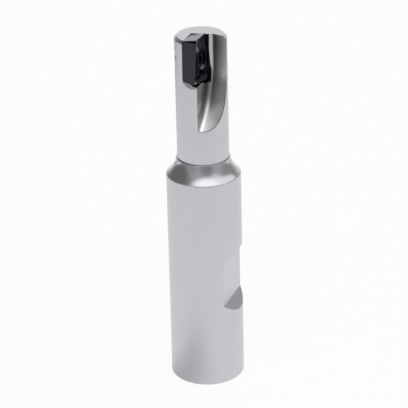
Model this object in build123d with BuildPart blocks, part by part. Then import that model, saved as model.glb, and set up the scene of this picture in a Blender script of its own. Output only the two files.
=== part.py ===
from build123d import *
from build123d.topology import SkipClean
import math
import os

os.makedirs("parts", exist_ok=True)

# Indexable end mill: a side-lock shank, a slim neck with one carbide insert, and its clamping screw.
# The origin is the centre of the shank's end face, and +Z runs along the axis to the cutting end.
# +X is the outward normal of the clamping flat. Lengths are millimetres, angles are degrees.

# Overall sizes
overall_length = 80.0
cutting_d = 12.0

# Shank, its clamping flat and the turning centre in its end
shank_d = 16.0
shank_length = 48.0
shank_end_chamfer = 0.3
flat_length = 10.0
flat_centre_z = 24.0
flat_depth = 2.0
flat_end_angle = 40.0
wall_joint_gap = 0.1
centre_mouth_d = 4.2
centre_pilot_d = 2.0
centre_pilot_depth = 4.0
centre_angle = 60.0

# Neck, its flare into the shank, the relief groove between them and the top rim
neck_d = 11.1
flare_length = 3.75
flare_step = 0.25
flare_top_angle = 8.0
flare_edge_r = 0.5
relief_groove_width = 0.22
relief_groove_depth = 0.1
rim_chamfer = 0.6
insert_projection = 0.85

# Insert: a two-edged parallelogram, measured across its rake face
insert_length = 10.65
insert_width = 6.7
insert_thickness = 3.5
insert_clearance_angle = 11.0
insert_end_angle = 5.0
nose_r = 0.8
heel_r = 0.2
heel_drop = 0.66
middle_drop = 0.37

# Screw hole of the insert
insert_hole_d = 2.8
insert_sink_d = 4.0
sink_land = 0.75
sink_angle = 60.0

# Chip grooves pressed into the rake face, along the long edges and across the ends
edge_land = 0.12
side_groove_width = 0.8
side_groove_depth = 0.2
side_groove_wall = 0.45
end_groove_width = 1.5
end_groove_depth = 0.15
end_groove_wall = 1.0

# How the insert is held: its seat, parallel to the clamping flat, and the pocket around it
seat_offset = 2.19
lead_angle = 1.2
seat_clearance = 0.02
pocket_headroom = 0.3
pocket_relief = 0.3
corner_relief_r = 1.1
corner_relief_inward = 0.17
corner_relief_down = 0.15
side_relief_width = 0.45
side_relief_height = 3.4
pocket_pad_width = 1.8
pocket_pad_offset = 0.1
pocket_bevel_height = 1.0
pocket_bevel_angle = 21.0

# Chip gullet in front of the insert, turned from the seat
gullet_turn = 4.5
gullet_floor_offset = 1.43
gullet_wall_offset = 1.52
gullet_arc_z = 74.2
gullet_arc_r = 19.2
gullet_wall_lean = 7.9
gullet_wall_drop = 30.4
gullet_corner_r = 0.8

# Clamping screw with a six-lobed drive
screw_thread_d = 2.5
screw_length = 5.0
screw_head_d = 3.8
screw_head_land = 0.4
screw_head_chamfer = 0.12
screw_tip_chamfer = 0.3
screw_head_clearance = 0.03
thread_clearance = 0.04
drive_core_d = 1.75
drive_lobe_d = 0.6
drive_lobe_circle_d = 1.8
drive_lobes = 6
drive_depth = 0.9

# How far the cutting shapes run past what they cut
overrun = 2.0

# Sizes of the turned body
shank_r = shank_d / 2
neck_r = neck_d / 2
flare_top_z = shank_length + flare_length
neck_bottom_z = flare_top_z + relief_groove_width
body_top_z = overall_length - insert_projection

# Sizes of the insert's outline at its full thickness
half_w = insert_width / 2
half_l = insert_length / 2
end_slope = math.tan(math.radians(insert_end_angle))
end_stretch = 1 / math.cos(math.radians(insert_end_angle))
clearance_slope = math.tan(math.radians(insert_clearance_angle))
flank_inset = insert_thickness * clearance_slope
nose_x = half_w - nose_r
nose_y = half_l - nose_r * (end_slope + end_stretch)
edge_turns = (0.0, 180.0)


def top_end_y(x):
    """Height of the insert's top end edge at x, measured from the hole."""
    return half_l - (x + half_w) * end_slope


def bottom_wall_y(x, gap):
    """Height of the pocket's bottom wall at the seat, a gap below the insert's lower end."""
    return -top_end_y(-x) + (flank_inset - gap) * end_stretch


# The seat is turned first, then moved so that the nose reaches the cutting circle and the full length
seat_turn = Plane.YZ.rotated((-lead_angle, 0, 0))
nose_centre = seat_turn.from_local_coords(Vector(-nose_x, nose_y, insert_thickness))
edge_point = seat_turn.from_local_coords(Vector(-half_w, nose_y, insert_thickness))
edge_x = edge_point.X - seat_offset
edge_y = -math.sqrt((cutting_d / 2) ** 2 - edge_x**2)
hole_origin = Vector(-seat_offset, edge_y - edge_point.Y, overall_length - nose_r - nose_centre.Z)
seat_plane = Plane(hole_origin, x_dir=seat_turn.x_dir, z_dir=seat_turn.z_dir)
rake_plane = seat_plane.offset(insert_thickness)
screw_axis = Axis(hole_origin, seat_plane.z_dir)
screw_section = Plane(hole_origin, x_dir=seat_plane.x_dir, z_dir=-seat_plane.y_dir)

# Tool for one long side of the rake face: a groove that deepens from the nose to the heel
with BuildPart() as side_groove:
    side_stations = ((half_l, 0.0), (0.0, middle_drop), (-half_l, heel_drop))
    for station_y, edge_drop in side_stations:
        section_origin = rake_plane.from_local_coords(Vector(-half_w, station_y, -edge_drop))
        with BuildSketch(Plane(section_origin, x_dir=seat_plane.x_dir, z_dir=-seat_plane.y_dir)):
            with BuildLine():
                Polyline(
                    (-overrun, overrun),
                    (-overrun, 0),
                    (edge_land + edge_drop * clearance_slope, 0),
                    (side_groove_width, -side_groove_depth),
                    (side_groove_width + side_groove_wall, edge_drop),
                    (side_groove_width + side_groove_wall, overrun),
                    close=True,
                )
            make_face()
    loft()

# Tool for one end of the rake face, from the nose across to the heel
with BuildPart() as end_groove:
    end_stations = ((-half_w - nose_r, 0.0), (half_w + nose_r, heel_drop))
    for station_x, edge_drop in end_stations:
        section_origin = rake_plane.from_local_coords(Vector(station_x, top_end_y(station_x), -edge_drop))
        with BuildSketch(Plane(section_origin, x_dir=-seat_plane.y_dir, z_dir=-seat_plane.x_dir)):
            with BuildLine():
                Polyline(
                    (-overrun, overrun),
                    (-overrun, 0),
                    (edge_land, 0),
                    (end_groove_width, -end_groove_depth),
                    (end_groove_width + end_groove_wall, edge_drop),
                    (end_groove_width + end_groove_wall, overrun),
                    close=True,
                )
            make_face()
    loft(ruled=True)

# Insert: a block with clearance on every side, grooved the same way on both long edges
with BuildPart() as cutting_insert:
    with BuildSketch(rake_plane) as insert_outline:
        heel_y = top_end_y(half_w)
        with BuildLine():
            Polyline((-half_w, half_l), (half_w, heel_y), (half_w, -half_l), (-half_w, -heel_y), close=True)
        make_face()
        outline_corners = insert_outline.vertices().sort_by(SortBy.DISTANCE)
        fillet(outline_corners[-2:], radius=nose_r)
        fillet(outline_corners[:2], radius=heel_r)
    extrude(amount=-insert_thickness, taper=insert_clearance_angle)
    for turn in edge_turns:
        add(side_groove.part.rotate(screw_axis, turn), mode=Mode.SUBTRACT)
        add(end_groove.part.rotate(screw_axis, turn), mode=Mode.SUBTRACT)
    with Locations(rake_plane.offset(-sink_land)):
        CounterSinkHole(insert_hole_d / 2, insert_sink_d / 2, counter_sink_angle=sink_angle)
cutting_insert.part.label = "cutting_insert"
export_step(cutting_insert.part, "parts/cutting_insert.step")

# Clamping screw: its cone sits in the insert's countersink, its shank in the tapped hole
sink_slope = math.tan(math.radians(sink_angle / 2))
cone_r = screw_head_d / 2
thread_r = screw_thread_d / 2
cone_top = insert_thickness - sink_land - (insert_sink_d / 2 - cone_r - screw_head_clearance) / sink_slope
cone_bottom = cone_top - (cone_r - thread_r) / sink_slope
head_top = cone_top + screw_head_land
tip = head_top - screw_length
with BuildPart() as insert_screw:
    with BuildSketch(screw_section):
        with BuildLine():
            Polyline(
                (0, tip),
                (thread_r - screw_tip_chamfer, tip),
                (thread_r, tip + screw_tip_chamfer),
                (thread_r, cone_bottom),
                (cone_r, cone_top),
                (cone_r, head_top - screw_head_chamfer),
                (cone_r - screw_head_chamfer, head_top),
                (0, head_top),
                close=True,
            )
        make_face()
    revolve(axis=screw_axis)
    with BuildSketch(seat_plane.offset(head_top)):
        Circle(drive_core_d / 2)
        with PolarLocations(drive_lobe_circle_d / 2, drive_lobes):
            Circle(drive_lobe_d / 2)
    extrude(amount=-drive_depth, mode=Mode.SUBTRACT)
insert_screw.part.label = "insert_screw"
export_step(insert_screw.part, "parts/insert_screw.step")

# Tool for the pocket: the insert's lower and inner flanks a clearance away, open upward and outward
pocket_side_x = half_w - flank_inset + seat_clearance
pocket_far = insert_length + overrun
pocket_depth = insert_thickness + pocket_headroom
pad_left = -pocket_pad_offset - pocket_pad_width
with BuildPart() as pocket_tool:
    with BuildSketch(seat_plane):
        with BuildLine():
            Polyline(
                (-pocket_far, bottom_wall_y(-pocket_far, seat_clearance)),
                (pocket_side_x, bottom_wall_y(pocket_side_x, seat_clearance)),
                (pocket_side_x, pocket_far),
                (-pocket_far, pocket_far),
                close=True,
            )
        make_face()
    extrude(amount=pocket_depth, taper=-insert_clearance_angle)
    # The bottom wall touches the insert only on a pad, and the corner is drilled clear of the nose
    with BuildSketch(seat_plane):
        with BuildLine():
            Polyline(
                (-pocket_far, bottom_wall_y(-pocket_far, pocket_relief)),
                (pad_left, bottom_wall_y(pad_left, pocket_relief)),
                (pad_left, 0),
                (-pocket_far, 0),
                close=True,
            )
        make_face()
    extrude(amount=pocket_depth, taper=-insert_clearance_angle)
    with BuildSketch(seat_plane):
        with Locations((nose_x + corner_relief_inward, -nose_y - corner_relief_down)):
            Circle(corner_relief_r)
    extrude(amount=pocket_depth)
    # The side wall above the drilled corner flares away from the insert
    with BuildSketch(seat_plane):
        with BuildLine():
            Polyline(
                (pocket_side_x, side_relief_height - nose_y),
                (pocket_side_x + side_relief_width, -nose_y),
                (pocket_side_x, -nose_y - corner_relief_down),
                close=True,
            )
        make_face()
    extrude(amount=pocket_depth, taper=-insert_clearance_angle)
    # A bevel on the body leads into the bottom wall from outside
    bevel_slope = math.tan(math.radians(pocket_bevel_angle))
    bevel_x = -neck_r - hole_origin.Y
    bevel_y = bottom_wall_y(bevel_x, pocket_relief + flank_inset) - pocket_bevel_height
    with BuildSketch(seat_plane):
        with BuildLine():
            Polyline(
                (bevel_x - overrun * bevel_slope, bevel_y - overrun),
                (bevel_x + overrun * bevel_slope, bevel_y + overrun),
                (bevel_x - overrun, bevel_y + overrun),
                close=True,
            )
        make_face()
    extrude(amount=pocket_depth)

# Tool for the chip gullet: a flat floor and a wall that sinks outward and runs out through the neck below
gullet_frame = Plane.YZ.rotated((0, 0, -gullet_turn))
gullet_plane = gullet_frame.offset(gullet_floor_offset)
gullet_lean = math.tan(math.radians(gullet_wall_lean))
gullet_drop = math.tan(math.radians(gullet_wall_drop))
gullet_out = neck_d + overrun
gullet_sweep = gullet_frame.z_dir - gullet_frame.x_dir * gullet_lean - Vector(0, 0, gullet_drop)
with BuildPart() as gullet_tool:
    with BuildSketch(gullet_plane):
        with BuildLine():
            arc_reach = gullet_arc_r - gullet_wall_offset - neck_r - overrun
            arc_angle = math.degrees(math.acos(arc_reach / gullet_arc_r))
            arc_centre = (gullet_wall_offset - gullet_arc_r, gullet_arc_z)
            run_out = CenterArc(arc_centre, gullet_arc_r, 0, -arc_angle)
            Polyline(
                run_out @ 0,
                (gullet_wall_offset, overall_length + gullet_out),
                (-gullet_out, overall_length + gullet_out),
                (-gullet_out, (run_out @ 1).Y),
                run_out @ 1,
            )
        make_face()
    extrude(amount=gullet_out, dir=gullet_sweep)
    floor_edges = gullet_tool.edges().group_by(Axis((0, 0, 0), gullet_frame.z_dir))[0]
    fillet(floor_edges.sort_by(Axis((0, 0, 0), gullet_frame.x_dir))[-2:], radius=gullet_corner_r)

# Body: turned, then the flat, the pocket, the gullet and the tapped hole are cut
flare_lean = math.radians(flare_top_angle)
flare_top_tangent = (math.sin(flare_lean), -math.cos(flare_lean))
centre_pilot_r = centre_pilot_d / 2
centre_mouth_r = centre_mouth_d / 2
centre_cone_depth = (centre_mouth_r - centre_pilot_r) / math.tan(math.radians(centre_angle / 2))
flat_slope = math.tan(math.radians(flat_end_angle))
flat_top_z = flat_centre_z + flat_length / 2
flat_bottom_z = flat_centre_z - flat_length / 2
wall_joint_z = flat_top_z + flat_depth / flat_slope + wall_joint_gap
with SkipClean():
    with BuildPart() as cutter_body:
        with BuildSketch(Plane.XZ):
            with BuildLine():
                Polyline(
                    (0, centre_pilot_depth),
                    (centre_pilot_r, centre_pilot_depth),
                    (centre_pilot_r, centre_cone_depth),
                    (centre_mouth_r, 0),
                    (shank_r - shank_end_chamfer, 0),
                    (shank_r, shank_end_chamfer),
                    (shank_r, wall_joint_z),
                    (0, wall_joint_z),
                    close=True,
                )
            make_face()
        revolve()
        # The wall above the flat is turned on its own, so that the two bands stay separate faces
        with BuildSketch(Plane.XZ) as upper_profile:
            with BuildLine():
                shank_line = Polyline((0, wall_joint_z), (shank_r, wall_joint_z), (shank_r, shank_length))
                flare_top = (neck_r + flare_step, flare_top_z)
                flare = TangentArc(flare_top, shank_line @ 1, tangent=flare_top_tangent)
                Polyline(
                    flare @ 0,
                    (neck_r - relief_groove_depth, flare_top_z),
                    (neck_r - relief_groove_depth, neck_bottom_z),
                    (neck_r, neck_bottom_z),
                    (neck_r, body_top_z - rim_chamfer),
                    (neck_r - rim_chamfer, body_top_z),
                    (0, body_top_z),
                    (0, wall_joint_z),
                )
            make_face()
            fillet(upper_profile.vertices().sort_by_distance((shank_r, shank_length))[0], radius=flare_edge_r)
        revolve()
        # Clamping flat with sloping ends
        flat_x = shank_r - flat_depth
        flat_run = (flat_depth + overrun) / flat_slope
        with BuildSketch(Plane.XZ):
            with BuildLine():
                Polyline(
                    (flat_x, flat_bottom_z),
                    (flat_x, flat_top_z),
                    (shank_r + overrun, flat_top_z + flat_run),
                    (shank_r + overrun, flat_bottom_z - flat_run),
                    close=True,
                )
            make_face()
        extrude(amount=shank_r, both=True, mode=Mode.SUBTRACT)
        add(pocket_tool.part, mode=Mode.SUBTRACT)
        add(gullet_tool.part, mode=Mode.SUBTRACT)
        # Tapped hole through to the back of the neck
        with BuildSketch(seat_plane):
            Circle((screw_thread_d + thread_clearance) / 2)
        extrude(amount=-neck_d, mode=Mode.SUBTRACT)
cutter_body.part.label = "cutter_body"
export_step(cutter_body.part, "parts/cutter_body.step")
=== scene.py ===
import logging
import math
from dataclasses import dataclass, field
from enum import Enum
from typing import Mapping, Sequence

import bpy
from mathutils import Matrix, Vector


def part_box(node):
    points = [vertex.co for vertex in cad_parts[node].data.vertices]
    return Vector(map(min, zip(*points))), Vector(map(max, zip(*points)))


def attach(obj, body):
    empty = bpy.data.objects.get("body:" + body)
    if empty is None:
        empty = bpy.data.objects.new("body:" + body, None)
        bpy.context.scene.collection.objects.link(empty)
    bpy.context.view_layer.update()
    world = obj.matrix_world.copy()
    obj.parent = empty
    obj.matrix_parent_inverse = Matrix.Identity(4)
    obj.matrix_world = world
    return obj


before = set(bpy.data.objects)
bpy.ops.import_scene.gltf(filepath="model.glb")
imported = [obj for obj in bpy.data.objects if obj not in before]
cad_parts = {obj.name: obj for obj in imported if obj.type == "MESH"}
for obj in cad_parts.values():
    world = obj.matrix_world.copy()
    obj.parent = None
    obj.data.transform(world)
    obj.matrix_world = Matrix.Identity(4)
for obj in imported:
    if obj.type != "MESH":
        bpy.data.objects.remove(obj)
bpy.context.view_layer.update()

MM = 0.001
FRAME_PIXELS = 408
ROOT = "root"
OPAQUE = 1.0
WHITE = (1.0, 1.0, 1.0, OPAQUE)
QUARTER_TURN = math.pi / 2
NOISE_MIDDLE = 0.5
BEVEL_SAMPLES = 6
# The Mix node's colour inputs and its colour output are told apart only by their places.
MIX_FIRST, MIX_SECOND, MIX_RESULT = 6, 7, 2
# A three-sided section reaches 1 corner radius out one way and half of one the other way.
TRIANGLE_HEIGHT, TRIANGLE_INNER = 1.5, 0.5
log = logging.getLogger("end_mill")

Colour = tuple[float, float, float]
# Where a smooth step is 0, and where it is 1; the second may be the lower one.
Span = tuple[float, float]


@dataclass(frozen=True)
class Value:
    """A number that a shader node gives; its operators add Math nodes."""

    bench: "Bench"
    socket: bpy.types.NodeSocket

    def _math(self, operation: str, first: object, second: object = 0.0) -> "Value":
        """Add one Math node for first and second and return its result."""
        return self.bench.value("ShaderNodeMath", {"operation": operation}, {0: first, 1: second})

    def __add__(self, other: object) -> "Value":
        """self + other."""
        return self._math("ADD", self, other)

    __radd__ = __add__

    def __sub__(self, other: object) -> "Value":
        """self - other."""
        return self._math("SUBTRACT", self, other)

    def __rsub__(self, other: object) -> "Value":
        """other - self."""
        return self._math("SUBTRACT", other, self)

    def __mul__(self, other: object) -> "Value":
        """self * other."""
        return self._math("MULTIPLY", self, other)

    __rmul__ = __mul__

    def __truediv__(self, other: object) -> "Value":
        """self / other."""
        return self._math("DIVIDE", self, other)

    def root(self) -> "Value":
        """The square root."""
        return self._math("SQRT", self)

    def positive(self) -> "Value":
        """The value, or 0 where it is negative."""
        return self._math("MAXIMUM", self, 0.0)

    def spread(self, width: float) -> "Value":
        """Turn noise from 0 to 1 into a change of the given width about 0."""
        return (self - NOISE_MIDDLE) * width

    def step(self, low: float, high: float) -> "Value":
        """Rise smoothly from 0 at low to 1 at high.

        Args:
            low: Where the result is 0.
            high: Where the result is 1; it may be less than low.

        Returns:
            The smooth step.
        """
        settings = {"interpolation_type": "SMOOTHSTEP"}
        inputs = {"Value": self, "From Min": low, "From Max": high}
        return self.bench.value("ShaderNodeMapRange", settings, inputs)

    def within(self, rise: Span, fall: Span) -> "Value":
        """1 between two smooth steps, and 0 outside them."""
        return self.step(*rise) * self.step(*fall)


@dataclass(frozen=True)
class Fineness:
    """How many features a noise has to a millimetre along x, y and z, and how many finer layers."""

    scales: tuple[float, float, float]
    layers: float


class Marks(Enum):
    """The fine marks and shades that the finishes are made of."""

    AROUND = Fineness((0.4, 0.4, 16.0), 3.0)
    LENGTHWISE = Fineness((9.0, 9.0, 0.3), 2.0)
    ACROSS = Fineness((0.5, 11.0, 11.0), 3.0)
    SLANTED = Fineness((1.5, 3.0, 14.0), 3.0)
    TURNED = Fineness((30.0, 0.8, 0.8), 2.0)
    CLOUDS = Fineness((0.25, 0.25, 0.12), 3.0)
    SMEARS = Fineness((1.3, 1.3, 0.35), 4.0)
    SPARKS = Fineness((3.5, 3.5, 3.5), 2.0)
    GRIT = Fineness((12.0, 12.0, 12.0), 4.0)
    GRAIN = Fineness((30.0, 30.0, 30.0), 3.0)


class Bench:
    """Adds shader nodes to one material or world."""

    def __init__(self, tree: bpy.types.NodeTree) -> None:
        """Start on an emptied tree."""
        tree.nodes.clear()
        self.tree = tree

    def node(
        self,
        kind: str,
        settings: Mapping[str, object] | None = None,
        inputs: Mapping[str | int, object] | None = None,
    ) -> bpy.types.Node:
        """Add one node.

        Args:
            kind: The node's type.
            settings: Its properties.
            inputs: What each socket gets: a plain value, a Value, or a socket to link from.

        Returns:
            The new node.
        """
        made = self.tree.nodes.new(kind)
        for name, setting in (settings or {}).items():
            setattr(made, name, setting)
        for name, given in (inputs or {}).items():
            source = given.socket if isinstance(given, Value) else given
            if isinstance(source, bpy.types.NodeSocket):
                self.tree.links.new(source, made.inputs[name])
            else:
                made.inputs[name].default_value = source
        return made

    def value(self, kind: str, settings: Mapping[str, object], inputs: Mapping[str | int, object]) -> Value:
        """Add one node and return its first output as a Value."""
        return Value(self, self.node(kind, settings, inputs).outputs[0])

    def place(self) -> tuple[Value, Value, Value]:
        """Find the surface point.

        Returns:
            Its x, y and z in the part's frame, in millimetres.
        """
        coordinates = self.node("ShaderNodeTexCoord").outputs["Object"]
        split = self.node("ShaderNodeSeparateXYZ", None, {0: coordinates})
        return tuple(Value(self, output) / MM for output in split.outputs)

    def facing(self) -> tuple[Value, Value, Value]:
        """Find the surface's outward direction.

        Returns:
            Its x, y and z in the part's frame.
        """
        outward = self.node("ShaderNodeNewGeometry").outputs["Normal"]
        split = self.node("ShaderNodeSeparateXYZ", None, {0: outward})
        return tuple(Value(self, output) for output in split.outputs)

    def noise(self, marks: Marks, place: Sequence[Value]) -> Value:
        """Cloudy noise from 0 to 1.

        Args:
            marks: Which marks the noise stands for.
            place: The point's three coordinates in millimetres.

        Returns:
            The noise.
        """
        fineness = marks.value
        scaled = {index: at * scale for index, (at, scale) in enumerate(zip(place, fineness.scales))}
        point = self.node("ShaderNodeCombineXYZ", None, scaled).outputs[0]
        inputs = {"Vector": point, "Scale": 1.0, "Detail": fineness.layers}
        return self.value("ShaderNodeTexNoise", {}, inputs)

    def blend(self, amount: object, first: object, second: object) -> bpy.types.NodeSocket:
        """Mix two colours.

        Args:
            amount: 0 gives the first colour, 1 the second.
            first: A colour or a colour socket.
            second: A colour or a colour socket.

        Returns:
            The mixed colour's socket.
        """
        first, second = ((*given, OPAQUE) if isinstance(given, tuple) else given for given in (first, second))
        inputs = {0: amount, MIX_FIRST: first, MIX_SECOND: second}
        return self.node("ShaderNodeMix", {"data_type": "RGBA"}, inputs).outputs[MIX_RESULT]

    def rounded(self, radius: float) -> bpy.types.NodeSocket:
        """The surface's direction with its edges rounded to a radius in millimetres."""
        return self.node("ShaderNodeBevel", {"samples": BEVEL_SAMPLES}, {"Radius": radius * MM}).outputs[0]

    def edge_mask(self, rounded: bpy.types.NodeSocket, rise: Span) -> Value:
        """How much a point lies on an edge.

        Args:
            rounded: The direction with rounded edges.
            rise: The turns, as 1 minus a cosine, at which the edge mask starts and is full.

        Returns:
            0 on a plain surface and 1 on an edge.
        """
        true = self.node("ShaderNodeNewGeometry").outputs["Normal"]
        dot = self.node("ShaderNodeVectorMath", {"operation": "DOT_PRODUCT"}, {0: rounded, 1: true})
        return (1.0 - Value(self, dot.outputs["Value"])).step(*rise)

    def relief(
        self, height: Value, depth: float, rounded: bpy.types.NodeSocket, strength: float
    ) -> bpy.types.NodeSocket:
        """A bumped normal.

        Args:
            height: The marks' height from 0 to 1.
            depth: The height of the marks in millimetres.
            rounded: The direction with rounded edges.
            strength: How much of the bump shows.

        Returns:
            The normal's socket.
        """
        sizes = {"Strength": strength, "Distance": depth * MM, "Height": height, "Normal": rounded}
        return self.node("ShaderNodeBump", None, sizes).outputs[0]

    def metal(
        self, colour: object, roughness: object, normal: object, bare: object = 1.0, grazing: float = 1.0
    ) -> bpy.types.NodeSocket:
        """Add one metal shader.

        Args:
            colour: The base colour.
            roughness: The roughness.
            normal: The normal's socket.
            bare: How much of the surface is bare metal.
            grazing: The brightness of the reflection at a grazing angle.

        Returns:
            The shader's socket.
        """
        base = (*colour, OPAQUE) if isinstance(colour, tuple) else colour
        looks = {"Base Color": base, "Metallic": bare, "Roughness": roughness, "Normal": normal}
        tint = (grazing, grazing, grazing, OPAQUE)
        return self.node("ShaderNodeBsdfPrincipled", None, {**looks, "Specular Tint": tint}).outputs[0]

    def join(
        self, amount: Value, first: bpy.types.NodeSocket, second: bpy.types.NodeSocket
    ) -> bpy.types.NodeSocket:
        """Mix two shaders; 0 gives the first and 1 the second."""
        return self.node("ShaderNodeMixShader", None, {0: amount, 1: first, 2: second}).outputs[0]

    def close(self, surface: bpy.types.NodeSocket) -> None:
        """Make one shader the material's surface."""
        self.node("ShaderNodeOutputMaterial", None, {"Surface": surface})


def new_material(name: str) -> tuple[bpy.types.Material, Bench]:
    """Start a material.

    Args:
        name: The material's name.

    Returns:
        The material and the bench that fills it.
    """
    made = bpy.data.materials.new(name)
    made.use_nodes = True
    return made, Bench(made.node_tree)


@dataclass(frozen=True)
class BodyPoint:
    """A point of the body's surface, in millimetres.

    It has the part's x, y and z, its radius from the tool's axis, and its place in the chip gullet:
    depth from the axis out through the gullet's floor, height above that floor, across the floor, and
    beside the wall's line, which is negative over the floor.
    """

    x: Value
    y: Value
    z: Value
    radius: Value
    depth: Value
    height: Value
    across: Value
    beside: Value


@dataclass(frozen=True)
class GulletAxes:
    """How the chip gullet lies in the neck; lengths are millimetres and the turn is in degrees."""

    turn: float = 4.5
    floor: float = 1.43
    wall_offset: float = 1.52
    wall_start: float = 74.2
    wall_sweep: float = 19.2

    def locate(self, bench: Bench) -> BodyPoint:
        """Add the nodes that place the surface point.

        Args:
            bench: The material's bench.

        Returns:
            The point.
        """
        x, y, z = bench.place()
        turn = math.radians(self.turn)
        depth = x * math.cos(turn) - y * math.sin(turn)
        across = x * math.sin(turn) + y * math.cos(turn)
        drop = (self.wall_start - z).positive()
        wall = (self.wall_sweep**2 - drop * drop).root() + (self.wall_offset - self.wall_sweep)
        radius = (x * x + y * y).root()
        return BodyPoint(x, y, z, radius, depth, depth - self.floor, across, across - wall)


@dataclass(frozen=True)
class PocketPaintedShade:
    """Where the pocket round the insert is painted black as shade, in millimetres.

    The side, floor, top, back and seat bound it. The lifts and drops move the seat's level where the
    insert's tip, the pad, the seat's inner end and the drilled corner are.
    """

    side: Span = (0.96, 0.84)
    waist: float = 76.0
    waist_fall: Span = (76.1, 75.9)
    taper: float = 0.058
    floor: Span = (1.43, 1.38)
    top: Span = (1.95, 1.85)
    back: Span = (-0.6, -0.1)
    seat_facing: tuple[float, float, float] = (0.191, 0.106, 0.976)
    seat: Span = (67.60, 67.66)
    seat_lift: float = 0.05
    pad_start: Span = (-4.0, -3.85)
    pad_drop: float = 0.276
    tip_start: Span = (-0.3, 0.0)
    tip_end: Span = (-4.9, -5.1)
    tip_lift: float = 0.25
    inner_start: Span = (-2.5, -1.1)
    inner_lift: float = 0.5
    corner_start: Span = (0.5, 1.5)
    corner_drop: float = 1.1

    def mask(self, at: BodyPoint) -> Value:
        """Tell the pocket, painted black as shade, from the rest of the gullet.

        Args:
            at: The surface point.

        Returns:
            1 in the pocket and 0 outside it.
        """
        facing_x, facing_y, facing_z = self.seat_facing
        level = at.x * facing_x + at.y * facing_y + at.z * facing_z
        level = level - at.y.step(*self.pad_start) * self.pad_drop + self.seat_lift
        level = level + at.x.step(*self.tip_start) * at.across.step(*self.tip_end) * self.tip_lift
        level = level + at.y.step(*self.inner_start) * self.inner_lift
        level = level - at.across.step(*self.corner_start) * self.corner_drop
        taper = (self.waist - at.z) * at.z.step(*self.waist_fall) * self.taper
        side = (at.across - taper).step(*self.side)
        deep = at.depth.step(*self.floor)
        inside = (deep + (1.0 - deep) * side) * level.step(*self.seat)
        return inside * at.depth.within(self.top, self.back)


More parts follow.
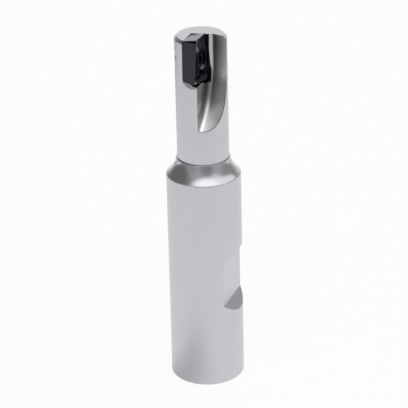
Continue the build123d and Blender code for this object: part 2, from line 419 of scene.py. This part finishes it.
@dataclass(frozen=True)
class GulletPaintedShading:
    """Painted light and shade on the milled gullet: its wall, the wall's rounded foot, its floor and the
    bevel.

    These colours stand in for the reflections and shadows there: painted highlights on the foot, painted
    shade at the wall's root and on the floor, and the wall painted dark near the insert and pale outward.
    Spans are millimetres up the tool, above the gullet's floor, or beside the wall's line. Shares are how
    strongly a shade shows.
    """

    # These colours are painted light and shade, not the steel's own colour.
    wall: Colour = (0.19, 0.185, 0.19)
    wall_outer: Colour = (0.90, 0.89, 0.895)
    low_wall: Colour = (0.60, 0.59, 0.595)
    low_wall_outer: Colour = (0.40, 0.39, 0.395)
    foot: Colour = (0.68, 0.67, 0.675)
    gleam: Colour = (0.95, 0.94, 0.95)
    root_shade: Colour = (0.13, 0.125, 0.13)
    low_root_shade: Colour = (0.30, 0.29, 0.30)
    floor: Colour = (0.44, 0.425, 0.435)
    low_floor: Colour = (0.64, 0.63, 0.65)
    shadow: Colour = (0.145, 0.14, 0.15)
    bevel: Colour = (0.52, 0.515, 0.53)
    outer_rise: Span = (0.45, 3.4)
    outer_lift: float = 0.45
    outer_lift_rise: Span = (74.5, 77.5)
    low_wall_start: Span = (65.5, 61.8)
    foot_height: Span = (1.05, 0.6)
    foot_beside: Span = (-1.0, -0.75)
    foot_share: float = 0.8
    foot_low: Span = (63.5, 61.0)
    gleam_rise: Span = (0.05, 0.42)
    gleam_fall: Span = (1.1, 0.65)
    gleam_top: Span = (66.5, 64.0)
    dip_rise: Span = (0.005, 0.03)
    dip_fall: Span = (0.4, 0.08)
    dip_top: Span = (70.5, 69.5)
    dip_beside: Span = (0.3, 0.0)
    dip_fade: Span = (60.3, 62.8)
    dip_least: float = 0.2
    dip_share: float = 0.9
    low_dip_start: Span = (66.5, 64.5)
    floor_height: Span = (0.05, 0.01)
    low_floor_top: Span = (66.5, 64.8)
    low_floor_end: Span = (62.8, 64.2)
    floor_shadow: Span = (-4.2, -1.9)
    floor_shadow_shift: float = 0.45
    floor_shadow_turn: Span = (67.0, 65.0)
    floor_shadow_end: Span = (61.2, 63.8)
    wall_shadow_top: Span = (71.5, 68.5)
    wall_shadow_end: Span = (62.3, 65.3)
    wall_shadow_share: float = 0.7
    foot_shadow_end: Span = (63.5, 65.5)
    foot_shadow_share: float = 0.5
    off_floor: Span = (0.05, 0.2)
    bevel_facing: tuple[float, float] = (-0.926, 0.378)
    bevel_level: Span = (31.16, 31.20)
    bevel_depth: Span = (1.35, 1.2)

    def wall_painted_shading(self, bench: Bench, at: BodyPoint, foot: Value) -> bpy.types.NodeSocket:
        """Paint light and shade on the wall and its rounded foot.

        Args:
            bench: The material's bench.
            at: The surface point.
            foot: 1 on the wall's rounded foot.

        Returns:
            The colour's socket.
        """
        # The wall is painted dark near the insert and pale outward, with its own shades low down: painted
        # reflection and shade.
        lift = at.z.step(*self.outer_lift_rise) * self.outer_lift
        outward = (at.height - lift).step(*self.outer_rise)
        colour = bench.blend(outward, self.wall, self.wall_outer)
        low_wall = bench.blend(outward, self.low_wall, self.low_wall_outer)
        colour = bench.blend(at.z.step(*self.low_wall_start), colour, low_wall)
        # The share doubles low down, and the Mix node keeps what is past 1 at 1.
        foot_share = (at.z.step(*self.foot_low) + 1.0) * self.foot_share
        # The rounded foot is painted pale: a painted highlight.
        colour = bench.blend(foot * foot_share, colour, self.foot)
        # A painted highlight: a pale line along the foot's lower part.
        gleam = at.height.within(self.gleam_rise, self.gleam_fall) * at.z.step(*self.gleam_top)
        colour = bench.blend(gleam, colour, self.gleam)
        # A painted dark band of shade at the wall's root.
        root_shade = at.height.within(self.dip_rise, self.dip_fall) * at.z.step(*self.dip_top)
        fade = at.z.step(*self.dip_fade) * (1.0 - self.dip_least) + self.dip_least
        root_shade = root_shade * at.beside.step(*self.dip_beside) * fade
        dark = bench.blend(at.z.step(*self.low_dip_start), self.root_shade, self.low_root_shade)
        return bench.blend(root_shade * self.dip_share, colour, dark)

    def colour(self, bench: Bench, at: BodyPoint) -> bpy.types.NodeSocket:
        """Paint light and shade on the whole gullet.

        Args:
            bench: The material's bench.
            at: The surface point.

        Returns:
            The colour's socket.
        """
        foot = at.height.step(*self.foot_height) * at.beside.step(*self.foot_beside)
        colour = self.wall_painted_shading(bench, at, foot)
        # The floor is painted darker than the steel and paler low down: painted shade and light.
        plane = at.height.step(*self.floor_height)
        pale = at.z.within(self.low_floor_top, self.low_floor_end)
        colour = bench.blend(plane, colour, bench.blend(pale, self.floor, self.low_floor))
        shift = at.z.step(*self.floor_shadow_turn) * self.floor_shadow_shift
        shadow = plane * (at.beside - shift).step(*self.floor_shadow) * at.z.step(*self.floor_shadow_end)
        colour = bench.blend(shadow, colour, self.shadow)
        foot_shadow = foot * at.z.step(*self.foot_shadow_end) * self.foot_shadow_share
        wall_shadow = (1.0 - foot) * at.z.step(*self.wall_shadow_end) * self.wall_shadow_share
        shadow = at.z.step(*self.wall_shadow_top) * (foot_shadow + wall_shadow)
        colour = bench.blend(shadow * at.height.step(*self.off_floor), colour, self.shadow)
        # The bevel under the insert is painted paler: painted light.
        facing_y, facing_z = self.bevel_facing
        level = at.z * facing_z + at.y * facing_y
        bevel = level.step(*self.bevel_level) * at.depth.step(*self.bevel_depth)
        return bench.blend(bevel, colour, self.bevel)


@dataclass(frozen=True)
class BodySteel:
    """Ground tool steel: satin bands, a polished flare, and a milled gullet with painted light and shade and
    a pocket painted black as shade.

    Spans, depths and radii are millimetres. Shares are how strongly a shade shows, and changes are
    what a mark adds to the roughness.
    """

    axes: GulletAxes = GulletAxes()
    pocket: PocketPaintedShade = PocketPaintedShade()
    gullet: GulletPaintedShading = GulletPaintedShading()
    colour: Colour = (0.612, 0.603, 0.632)
    dull_colour: Colour = (0.515, 0.508, 0.545)
    # Painted shade: the pocket round the insert is painted near black.
    pocket_shade_colour: Colour = (0.012, 0.0115, 0.013)
    # Painted reflection: a dark line along the gullet's run-out edge.
    painted_edge_line_colour: Colour = (0.06, 0.06, 0.065)
    mouth_painted_light: Colour = (0.95, 0.95, 0.95)
    lip_highlight_colour: Colour = (0.88, 0.87, 0.89)
    cloud_share: float = 0.14
    smear_share: float = 0.10
    painted_edge_line_share: float = 0.9
    lip_highlight_share: float = 0.6
    satin: float = 0.34
    milled: float = 0.36
    polished: float = 0.15
    ring_change: float = 0.10
    smear_change: float = 0.08
    lip_change: float = 0.12
    milled_haze: float = 0.22
    pocket_shade_grazing: float = 0.3
    draw_height: float = 0.6
    mark_depth: float = 0.004
    mark_strength: float = 0.4
    edge_radius: float = 0.12
    flare_start: Span = (47.80, 47.90)
    flare_end: Span = (51.74, 51.70)
    flare_radius: Span = (5.57, 5.65)
    lip_start: Span = (47.72, 47.82)
    lip_end: Span = (48.12, 47.98)
    hollow_start: Span = (55.0, 56.0)
    hollow_end: Span = (79.13, 79.09)
    hollow_radius: Span = (5.53, 5.45)
    hollow_depth: Span = (-2.4, -1.9)
    rim: Span = (84.07, 84.0)
    painted_edge_line_radius: Span = (5.33, 5.41)
    painted_edge_line_top: Span = (68.0, 64.0)
    painted_edge_line_height: Span = (0.05, 0.2)
    hole: tuple[float, float] = (-2.67, 74.68)
    mouth_radius: Span = (1.38, 1.31)
    mouth_depth: Span = (-3.4, -4.1)

    def hollow_mask(self, at: BodyPoint) -> Value:
        """Tell the milled gullet and pocket from the ground outside.

        Args:
            at: The surface point.

        Returns:
            1 in the gullet and pocket.
        """
        hollow = at.z.within(self.hollow_start, self.hollow_end) * at.radius.step(*self.hollow_radius)
        return hollow * (at.z + at.radius).step(*self.rim) * at.depth.step(*self.hollow_depth)

    def mouth_mask(self, at: BodyPoint) -> Value:
        """Tell the tapped hole's mouth in the neck's back from the rest.

        Args:
            at: The surface point.

        Returns:
            1 in the mouth.
        """
        hole_y, hole_z = self.hole
        off_y, off_z = at.y - hole_y, at.z - hole_z
        away = (off_y * off_y + off_z * off_z).root()
        return away.step(*self.mouth_radius) * at.depth.step(*self.mouth_depth)

    def material(self) -> bpy.types.Material:
        """Build the material.

        Returns:
            The material.
        """
        made, bench = new_material("ground body steel")
        at = self.axes.locate(bench)
        place = (at.x, at.y, at.z)
        rings = bench.noise(Marks.AROUND, (at.x, at.y, at.z + at.radius))
        draws = bench.noise(Marks.LENGTHWISE, place)
        clouds = bench.noise(Marks.CLOUDS, place)
        smears = bench.noise(Marks.SMEARS, place)

        flare = at.z.within(self.flare_start, self.flare_end) * at.radius.step(*self.flare_radius)
        lip = at.z.within(self.lip_start, self.lip_end)
        hollow = self.hollow_mask(at)
        # A painted dark line along the gullet's run-out edge: painted reflection of darker surroundings.
        painted_edge_line = hollow * at.radius.step(*self.painted_edge_line_radius) * at.z.step(*self.painted_edge_line_top)
        painted_edge_line = painted_edge_line * at.height.step(*self.painted_edge_line_height)

        dullness = clouds * self.cloud_share + smears * self.smear_share
        colour = bench.blend(dullness, self.colour, self.dull_colour)
        # The gullet gets its painted light and shade.
        colour = bench.blend(hollow, colour, self.gullet.colour(bench, at))
        # The tapped hole's mouth is painted near white: painted light over the hole's shade.
        colour = bench.blend(self.mouth_mask(at), colour, self.mouth_painted_light)
        colour = bench.blend(painted_edge_line * self.painted_edge_line_share, colour, self.painted_edge_line_colour)
        # The flare's lower lip is painted paler: a painted highlight.
        colour = bench.blend(lip * self.lip_highlight_share, colour, self.lip_highlight_colour)

        rough = self.satin + rings.spread(self.ring_change) + smears.spread(self.smear_change)
        rough = rough + flare * (1.0 - lip) * (self.polished - self.satin)
        rough = rough + lip * self.lip_change + hollow * (self.milled - self.satin)

        marks = rings * (1.0 - hollow) + draws * hollow * self.draw_height
        rounded = bench.rounded(self.edge_radius)
        normal = bench.relief(marks, self.mark_depth, rounded, self.mark_strength)
        steel = bench.metal(colour, rough, normal, 1.0 - hollow * self.milled_haze)
        # The pocket is painted near black: painted shade for the gap and the shadows round the insert.
        black = bench.metal(self.pocket_shade_colour, rough, normal, grazing=self.pocket_shade_grazing)
        bench.close(bench.join(self.pocket.mask(at) * hollow, steel, black))
        return made


@dataclass(frozen=True)
class CoatedCarbide:
    """Dark hard-coated carbide: a black rake face, slate flanks and a paler ground end.

    Spans in y and z, depths and radii are millimetres. Facings are parts of the surface's direction.
    """

    rake_colour: Colour = (0.035, 0.035, 0.04)
    nose_light_colour: Colour = (0.19, 0.19, 0.21)
    sparkle_colour: Colour = (0.28, 0.28, 0.30)
    groove_shade_colour: Colour = (0.008, 0.008, 0.012)
    flank_colour: Colour = (0.052, 0.052, 0.068)
    flank_streak: Colour = (0.034, 0.034, 0.046)
    end_colour: Colour = (0.43, 0.43, 0.47)
    land_shade_colour: Colour = (0.004, 0.004, 0.006)
    # The rake's edges are painted paler, partly as wear and partly as a painted highlight.
    worn_colour: Colour = (0.20, 0.20, 0.22)
    streak_share: float = 0.6
    end_share: float = 0.75
    end_streak_share: float = 0.3
    land_shade_share: float = 0.95
    sparkle_share: float = 0.8
    worn_share: float = 0.5
    wear_and_highlight_grain_share: float = 0.6
    rake_grazing: float = 0.38
    roughness: float = 0.30
    streak_change: float = 0.12
    grain_change: float = 0.1
    end_roughness: float = 0.25
    end_bare: float = 0.5
    mark_height: float = 0.5
    mark_depth: float = 0.004
    mark_strength: float = 0.3
    edge_radius: float = 0.06
    edge_rise: Span = (0.005, 0.04)
    rake_facing: Span = (0.3, 0.5)
    end_facing: Span = (0.7, 0.92)
    land: Span = (79.18, 79.36)
    groove_start: Span = (70.8, 71.6)
    groove_end: Span = (77.4, 76.4)
    groove_side: Span = (-2.6, -3.4)
    top_nose: Span = (76.8, 78.0)
    low_nose: Span = (70.95, 70.2)
    spark_size: Span = (0.40, 0.74)
    spark_side: Span = (-3.2, -2.0)

    def flank(self, bench: Bench, z: Value, end: Value, streaks: Value, ends: Value) -> bpy.types.NodeSocket:
        """Colour the flanks and the ground end, with a painted band of shade along the flanks' top.

        Args:
            bench: The material's bench.
            z: The point's height up the tool in millimetres.
            end: 1 on the ground end.
            streaks: The flanks' slanted marks.
            ends: The end's marks.

        Returns:
            The colour's socket.
        """
        colour = bench.blend(streaks * self.streak_share, self.flank_colour, self.flank_streak)
        ground = end * (self.end_share + ends * self.end_streak_share)
        colour = bench.blend(ground, colour, self.end_colour)
        # A painted dark band of shade along the flanks' top.
        land = z.step(*self.land) * (1.0 - end)
        return bench.blend(land * self.land_shade_share, colour, self.land_shade_colour)

    def pressed(self, bench: Bench, y: Value, z: Value, sparks: Value, wear_and_highlight: Value) -> bpy.types.NodeSocket:
        """Shade the pressed rake face with its groove.

        Args:
            bench: The material's bench.
            y: The point's y in millimetres.
            z: Its height up the tool in millimetres.
            sparks: Coarse noise that places the painted glints.
            wear_and_highlight: How much the point lies on an edge that is worn and painted with a highlight.

        Returns:
            The colour's socket.
        """
        # The noses of the rake face are painted paler: painted light for their sloping faces.
        noses = z.step(*self.top_nose) + z.step(*self.low_nose)
        colour = bench.blend(noses, self.rake_colour, self.nose_light_colour)
        # Painted glints speckle the rake face.
        sparkle = sparks.step(*self.spark_size) * y.step(*self.spark_side)
        colour = bench.blend(sparkle * self.sparkle_share, colour, self.sparkle_colour)
        # The groove is painted near black: painted shade.
        groove = z.within(self.groove_start, self.groove_end) * y.step(*self.groove_side)
        colour = bench.blend(groove, colour, self.groove_shade_colour)
        return bench.blend(wear_and_highlight, colour, self.worn_colour)

    def material(self) -> bpy.types.Material:
        """Build the material.

        Returns:
            The material.
        """
        made, bench = new_material("coated carbide")
        place = _, y, z = bench.place()
        facing_x, _, facing_z = bench.facing()
        streaks = bench.noise(Marks.SLANTED, place)
        end_streaks = bench.noise(Marks.ACROSS, place)
        grain = bench.noise(Marks.GRAIN, place)
        sparks = bench.noise(Marks.SPARKS, place)
        rake = facing_x.step(*self.rake_facing)
        end = facing_z.step(*self.end_facing)

        rounded = bench.rounded(self.edge_radius)
        # Edges painted paler: partly wear, partly a painted highlight.
        wear_and_highlight = bench.edge_mask(rounded, self.edge_rise) * rake
        wear_and_highlight = wear_and_highlight * (self.worn_share + grain * self.wear_and_highlight_grain_share)
        rough = self.roughness + streaks.spread(self.streak_change) + grain.spread(self.grain_change)
        rough = rough + end * self.end_roughness
        height = (streaks + grain) * self.mark_height
        normal = bench.relief(height, self.mark_depth, rounded, self.mark_strength)

        colour = self.flank(bench, z, end, streaks, end_streaks)
        flanks = bench.metal(colour, rough, normal, 1.0 - end * (1.0 - self.end_bare))
        colour = self.pressed(bench, y, z, sparks, wear_and_highlight)
        face = bench.metal(colour, rough, normal, grazing=self.rake_grazing)
        bench.close(bench.join(rake, flanks, face))
        return made


@dataclass(frozen=True)
class ScrewSteel:
    """Dark hardened screw steel, its edges painted paler as wear and as a painted highlight."""

    colour: Colour = (0.075, 0.075, 0.08)
    worn_colour: Colour = (0.04, 0.04, 0.045)
    edge_wear_and_highlight_colour: Colour = (0.24, 0.24, 0.25)
    worn_share: float = 0.7
    edge_wear_and_highlight_share: float = 0.6
    grazing: float = 0.6
    roughness: float = 0.32
    grain_change: float = 0.18
    turned_height: float = 0.6
    grain_height: float = 0.4
    mark_depth: float = 0.004
    mark_strength: float = 0.3
    edge_radius: float = 0.05
    edge_rise: Span = (0.02, 0.2)

    def material(self) -> bpy.types.Material:
        """Build the material.

        Returns:
            The material.
        """
        made, bench = new_material("dark screw steel")
        place = bench.place()
        grain = bench.noise(Marks.GRIT, place)
        turned = bench.noise(Marks.TURNED, place)
        colour = bench.blend(grain * self.worn_share, self.colour, self.worn_colour)
        rough = self.roughness + grain.spread(self.grain_change)
        rounded = bench.rounded(self.edge_radius)
        # The screw's edges are painted paler: partly wear and partly a painted highlight.
        edges = bench.edge_mask(rounded, self.edge_rise) * self.edge_wear_and_highlight_share
        colour = bench.blend(edges, colour, self.edge_wear_and_highlight_colour)
        height = turned * self.turned_height + grain * self.grain_height
        normal = bench.relief(height, self.mark_depth, rounded, self.mark_strength)
        bench.close(bench.metal(colour, rough, normal, grazing=self.grazing))
        return made


class Tree:
    """Builds one Geometry Nodes tree with named inputs."""

    def __init__(self, name: str) -> None:
        """Start a tree that gives one geometry.

        Args:
            name: The tree's name.
        """
        self.tree = bpy.data.node_groups.new(name, "GeometryNodeTree")
        self.tree.interface.new_socket(name="Geometry", in_out="OUTPUT", socket_type="NodeSocketGeometry")
        self.given: dict[str, object] = {}

    def ask(self, name: str, kind: str, value: object) -> None:
        """Add one named input and the value that it will get.

        Args:
            name: The input's name.
            kind: The socket's type.
            value: What the modifier sets it to.
        """
        socket = self.tree.interface.new_socket(name=name, in_out="INPUT", socket_type=kind)
        self.given[socket.identifier] = value

    def add(
        self,
        kind: str,
        settings: Mapping[str, object] | None = None,
        inputs: Mapping[str | int, object] | None = None,
    ) -> bpy.types.Node:
        """Add one node.

        Args:
            kind: The node's type.
            settings: Its properties.
            inputs: What each socket gets: a plain value or a socket to link from.

        Returns:
            The new node.
        """
        made = self.tree.nodes.new(kind)
        for name, setting in (settings or {}).items():
            setattr(made, name, setting)
        for name, given in (inputs or {}).items():
            if isinstance(given, bpy.types.NodeSocket):
                self.tree.links.new(given, made.inputs[name])
            else:
                made.inputs[name].default_value = given
        return made

    def mesh(self, name: str) -> bpy.types.Object:
        """Run the tree on a new object and keep the result as a plain mesh.

        Args:
            name: The new object's name.

        Returns:
            The object, with no modifier left on it.
        """
        holder = bpy.data.objects.new(name + " tree", bpy.data.meshes.new(name + " tree"))
        bpy.context.scene.collection.objects.link(holder)
        modifier = holder.modifiers.new(name, "NODES")
        modifier.node_group = self.tree
        for identifier, value in self.given.items():
            modifier[identifier] = value
        shown = holder.evaluated_get(bpy.context.evaluated_depsgraph_get())
        result = bpy.data.meshes.new_from_object(shown)
        bpy.data.objects.remove(holder)
        made = bpy.data.objects.new(name, result)
        bpy.context.scene.collection.objects.link(made)
        return made


@dataclass
class TappedThread:
    """The thread that shows in the tapped hole behind the screw's tip.

    The hole's axis and the screw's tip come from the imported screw. Lengths are millimetres.
    """

    wall_radius: float = 1.27
    ridge: float = 0.2
    root_sunk: float = 0.02
    pitch: float = 0.45
    tip_gap: float = 0.12
    reach: float = 1.1
    trim_radius: float = 5.3
    trim_height: float = 8.0
    trim_sides: int = 256
    ridge_sides: int = 3
    steps_per_turn: int = 48

    def ask_sizes(self, tree: Tree, material: bpy.types.Material) -> None:
        """Give the tree its named inputs.

        Args:
            tree: The tree.
            material: The finish.
        """
        corner = (self.ridge + self.root_sunk) / TRIANGLE_HEIGHT
        helix = self.wall_radius + self.root_sunk - corner * TRIANGLE_INNER
        tree.ask("Helix radius", "NodeSocketFloat", helix * MM)
        tree.ask("Section radius", "NodeSocketFloat", corner * MM)
        tree.ask("Turns", "NodeSocketFloat", self.reach / self.pitch)
        tree.ask("Reach", "NodeSocketFloat", self.reach * MM)
        tree.ask("Trim radius", "NodeSocketFloat", self.trim_radius * MM)
        tree.ask("Steel", "NodeSocketMaterial", material)

    def build_tree(self, tip: Vector, material: bpy.types.Material) -> Tree:
        """Build the tree: a three-sided ridge along a helix, trimmed at the neck's surface.

        Args:
            tip: The middle of the screw's tip, in millimetres.
            material: The finish.

        Returns:
            The tree.
        """
        tree = Tree("tapped thread")
        self.ask_sizes(tree, material)
        sizes = tree.add("NodeGroupInput").outputs
        radii = {"Start Radius": sizes["Helix radius"], "End Radius": sizes["Helix radius"]}
        spiral = {"Resolution": self.steps_per_turn, "Rotations": sizes["Turns"], "Height": sizes["Reach"]}
        helix = tree.add("GeometryNodeCurveSpiral", None, {**spiral, **radii})
        upright = tree.add("GeometryNodeSetCurveNormal", {"mode": "Z_UP"}, {"Curve": helix.outputs[0]})
        circle = {"Resolution": self.ridge_sides, "Radius": sizes["Section radius"]}
        section = tree.add("GeometryNodeCurvePrimitiveCircle", None, circle)
        curves = {"Curve": upright.outputs[0], "Profile Curve": section.outputs[0]}
        ridge = tree.add("GeometryNodeCurveToMesh", None, {**curves, "Fill Caps": True})
        start = tuple((tip - Vector((self.tip_gap, 0, 0))) * MM)
        laying = {"Translation": start, "Rotation": (0, -QUARTER_TURN, 0)}
        laid = tree.add("GeometryNodeTransform", None, {"Geometry": ridge.outputs[0], **laying})
        drum = {"Radius": sizes["Trim radius"], "Depth": self.trim_height * MM}
        neck = tree.add("GeometryNodeMeshCylinder", None, {"Vertices": self.trim_sides, **drum})
        raising = {"Geometry": neck.outputs[0], "Translation": (0, 0, tip.z * MM)}
        placed = tree.add("GeometryNodeTransform", None, raising)
        trimmed = tree.add("GeometryNodeMeshBoolean", {"operation": "INTERSECT", "solver": "EXACT"})
        for source in (laid, placed):
            tree.tree.links.new(source.outputs[0], trimmed.inputs["Mesh 2"])
        real = tree.add("GeometryNodeRealizeInstances", None, {0: trimmed.outputs[0]})
        finish = {0: real.outputs[0], "Material": sizes["Steel"]}
        dressed = tree.add("GeometryNodeSetMaterial", None, finish)
        tree.add("NodeGroupOutput", None, {0: dressed.outputs[0]})
        return tree

    def build(self, material: bpy.types.Material) -> None:
        """Make the thread and let it ride with the body.

        Args:
            material: The finish.
        """
        low, high = (Vector(corner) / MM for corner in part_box("insert_screw"))
        middle = (low + high) / 2
        tip = Vector((low.x, middle.y, middle.z))
        thread = self.build_tree(tip, material).mesh("tapped_thread")
        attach(thread, ROOT)
        log.info("built %s with %d faces", thread.name, len(thread.data.polygons))


def dress_node(name: str, material: bpy.types.Material) -> None:
    """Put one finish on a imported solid.

    Args:
        name: The solid's name.
        material: The finish.
    """
    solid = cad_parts[name]
    for slot in solid.material_slots:
        slot.material = material
    log.info("dressed %s with %s", name, material.name)


@dataclass
class CutterBody:
    """The steel body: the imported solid, dressed, and the thread of its tapped hole."""

    node: str = "cutter_body"
    finish: BodySteel = field(default_factory=BodySteel)
    thread: TappedThread = field(default_factory=TappedThread)

    def build(self) -> None:
        """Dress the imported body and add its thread."""
        steel = self.finish.material()
        dress_node(self.node, steel)
        self.thread.build(steel)


@dataclass
class CuttingInsert:
    """The carbide insert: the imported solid, dressed."""

    node: str = "cutting_insert"
    finish: CoatedCarbide = field(default_factory=CoatedCarbide)

    def build(self) -> None:
        """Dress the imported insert."""
        dress_node(self.node, self.finish.material())


@dataclass
class ClampingScrew:
    """The screw that holds the insert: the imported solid, dressed."""

    node: str = "insert_screw"
    finish: ScrewSteel = field(default_factory=ScrewSteel)

    def build(self) -> None:
        """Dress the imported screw."""
        dress_node(self.node, self.finish.material())


@dataclass(frozen=True)
class SkyPatch:
    """A soft patch of the surroundings that metal reflects; angles and radii are degrees."""

    azimuth: float
    elevation: float
    inner: float
    outer: float
    brightness: float


@dataclass(frozen=True)
class FloorShadeSpot:
    """A soft grey shade painted on the floor that only metal sees; near the tool it is a painted contact
    shadow. Lengths are millimetres.
    """

    azimuth: float
    distance: float
    radius: float
    tone: float


@dataclass(frozen=True)
class SoftLamp:
    """A square soft lamp.

    Azimuth is degrees from the camera's side, positive to the right, and elevation degrees above the
    floor. Distance and side are metres. The level is its face's brightness, where white surroundings
    are 1.
    """

    name: str
    azimuth: float
    elevation: float
    distance: float
    side: float
    level: float


@dataclass
class Studio:
    """White floor and surroundings, the lamps and the camera.

    Angles are degrees. The floor's radius and the height that the lamps point at are metres, and the
    camera's lengths are millimetres.
    """

    turn: float = 21.0
    floor_radius: float = 0.36
    floor_steps: int = 96
    floor_tone: float = 0.9
    floor_glow_seen: float = 0.92
    floor_glow_mirrored: float = 0.9
    # Painted shade on the floor that only metal reflects; the near ones stand in for the tool's contact
    # shadow.
    floor_shade_spots: tuple[FloorShadeSpot, ...] = (
        FloorShadeSpot(azimuth=-35, distance=20, radius=20, tone=0.66),
        FloorShadeSpot(azimuth=-70, distance=9, radius=12, tone=0.78),
        FloorShadeSpot(azimuth=-140, distance=240, radius=110, tone=0.40),
        FloorShadeSpot(azimuth=138, distance=240, radius=90, tone=0.65),
    )
    surroundings: float = 0.5
    patches: tuple[SkyPatch, ...] = (
        SkyPatch(azimuth=180, elevation=15, inner=14, outer=48, brightness=1.0),
        SkyPatch(azimuth=-105, elevation=22, inner=20, outer=60, brightness=0.20),
        SkyPatch(azimuth=12, elevation=5, inner=8, outer=34, brightness=0.31),
        SkyPatch(azimuth=-48, elevation=6, inner=4, outer=26, brightness=0.40),
        SkyPatch(azimuth=105, elevation=12, inner=12, outer=40, brightness=0.36),
        SkyPatch(azimuth=112, elevation=42, inner=6, outer=24, brightness=1.1),
        SkyPatch(azimuth=48, elevation=40, inner=4, outer=22, brightness=0.88),
        SkyPatch(azimuth=84, elevation=57, inner=10, outer=32, brightness=1.15),
        SkyPatch(azimuth=12, elevation=69, inner=4, outer=37, brightness=1.5),
    )
    lamps: tuple[SoftLamp, ...] = (
        SoftLamp("overhead softbox", azimuth=10, elevation=72, distance=0.7, side=0.3, level=1.0),
    )
    lamp_aim: float = 0.04
    camera_elevation: float = 25.2152
    camera_distance: float = 456.534
    camera_roll: float = -1.32604
    sensor_width: float = 36.0
    focal_pixels: float = 2121.4
    aim_right: float = -0.07436
    aim_height: float = 40.30

    def toward(self, azimuth: float, elevation: float) -> Vector:
        """A direction in the part's frame.

        Args:
            azimuth: Degrees from the camera's side, positive to the right.
            elevation: Degrees above the floor.

        Returns:
            The unit vector.
        """
        across, up = math.radians(azimuth), math.radians(elevation)
        seen = Vector((math.sin(across) * math.cos(up), -math.cos(across) * math.cos(up), math.sin(up)))
        return Matrix.Rotation(math.radians(self.turn), 3, "Z") @ seen

    def build_world(self) -> None:
        """Light the scene all round, with the patches that metal reflects."""
        world = bpy.data.worlds.new("studio surroundings")
        bpy.context.scene.world = world
        world.use_nodes = True
        bench = Bench(world.node_tree)
        direction = bench.node("ShaderNodeTexCoord").outputs["Generated"]
        level = self.surroundings
        for patch in self.patches:
            axis = tuple(self.toward(patch.azimuth, patch.elevation))
            dot = bench.node("ShaderNodeVectorMath", {"operation": "DOT_PRODUCT"}, {0: direction, 1: axis})
            near = Value(bench, dot.outputs["Value"])
            mask = near.step(math.cos(math.radians(patch.outer)), math.cos(math.radians(patch.inner)))
            level = mask * (patch.brightness - level) + level
        seen = Value(bench, bench.node("ShaderNodeLightPath").outputs["Is Camera Ray"])
        strength = seen * (1.0 - level) + level
        back = bench.node("ShaderNodeBackground", None, {"Color": WHITE, "Strength": strength})
        bench.node("ShaderNodeOutputWorld", None, {"Surface": back.outputs[0]})

    def dress_floor(self) -> bpy.types.Material:
        """Build the floor's finish: white, with painted grey shade that only metal sees.

        Returns:
            The material.
        """
        material, bench = new_material("white floor")
        path = bench.node("ShaderNodeLightPath")
        seen = Value(bench, path.outputs["Is Camera Ray"])
        mirrored = Value(bench, path.outputs["Is Glossy Ray"])
        x, y, _ = bench.place()
        dim = 0.0
        for spot in self.floor_shade_spots:
            middle = self.toward(spot.azimuth, 0) * spot.distance
            off_x, off_y = x - middle.x, y - middle.y
            away = (off_x * off_x + off_y * off_y).root()
            dim = away.step(spot.radius, 0) * (1.0 - spot.tone) + dim
        tone = (self.floor_tone, self.floor_tone, self.floor_tone, OPAQUE)
        plain = bench.node("ShaderNodeBsdfDiffuse", None, {"Color": tone})
        bright = {"Color": WHITE, "Strength": 1.0 - mirrored * dim}
        glow = bench.node("ShaderNodeEmission", None, bright)
        share = seen * self.floor_glow_seen + mirrored * self.floor_glow_mirrored
        bench.close(bench.join(share, plain.outputs[0], glow.outputs[0]))
        return material

    def build_floor(self) -> None:
        """Make the round white floor, which keeps the tool's shadow."""
        mesh = bpy.data.meshes.new("floor")
        radius = self.floor_radius
        angles = (math.tau * step / self.floor_steps for step in range(self.floor_steps))
        ring = [(radius * math.cos(angle), radius * math.sin(angle), 0) for angle in angles]
        mesh.from_pydata(ring, [], [tuple(range(self.floor_steps))])
        mesh.materials.append(self.dress_floor())
        floor = bpy.data.objects.new("floor", mesh)
        bpy.context.scene.collection.objects.link(floor)

    def build_lamp(self, lamp: SoftLamp) -> None:
        """Hang one lamp that points at the tool.

        Args:
            lamp: Its place, size and brightness.
        """
        data = bpy.data.lights.new(lamp.name, "AREA")
        data.size = lamp.side
        data.energy = lamp.level * math.pi * lamp.side**2
        hung = bpy.data.objects.new(lamp.name, data)
        bpy.context.scene.collection.objects.link(hung)
        direction = self.toward(lamp.azimuth, lamp.elevation)
        hung.location = Vector((0, 0, self.lamp_aim)) + direction * lamp.distance
        hung.rotation_euler = direction.to_track_quat("Z", "Y").to_euler()
        hung.visible_glossy = False

    def build_camera(self) -> None:
        """Place the camera at the photograph's viewpoint."""
        up_angle, roll = math.radians(self.camera_elevation), math.radians(self.camera_roll)
        turn = Matrix.Rotation(math.radians(self.turn), 3, "Z")
        forward = Vector((0, math.cos(up_angle), -math.sin(up_angle)))
        right = Vector((1, 0, 0))
        up = right.cross(forward)
        rolled_right = right * math.cos(roll) + up * math.sin(roll)
        rolled_up = up * math.cos(roll) - right * math.sin(roll)
        aim = Vector((self.aim_right, 0, self.aim_height))
        spot = turn @ (aim - forward * self.camera_distance) * MM
        data = bpy.data.cameras.new("camera")
        data.sensor_width = self.sensor_width
        data.lens = self.focal_pixels * self.sensor_width / FRAME_PIXELS
        camera = bpy.data.objects.new("camera", data)
        bpy.context.scene.collection.objects.link(camera)
        columns = Matrix((turn @ rolled_right, turn @ rolled_up, turn @ -forward)).transposed()
        camera.matrix_world = Matrix.Translation(spot) @ columns.to_4x4()
        bpy.context.scene.camera = camera

    def build(self) -> None:
        """Build the whole studio."""
        bpy.context.scene.view_settings.view_transform = "Standard"
        self.build_world()
        self.build_floor()
        for lamp in self.lamps:
            self.build_lamp(lamp)
        self.build_camera()


def main() -> None:
    """Build everything in order."""
    logging.basicConfig(level=logging.INFO, format="%(name)s: %(message)s")
    CutterBody().build()
    CuttingInsert().build()
    ClampingScrew().build()
    Studio().build()


if __name__ == "__main__":
    main()
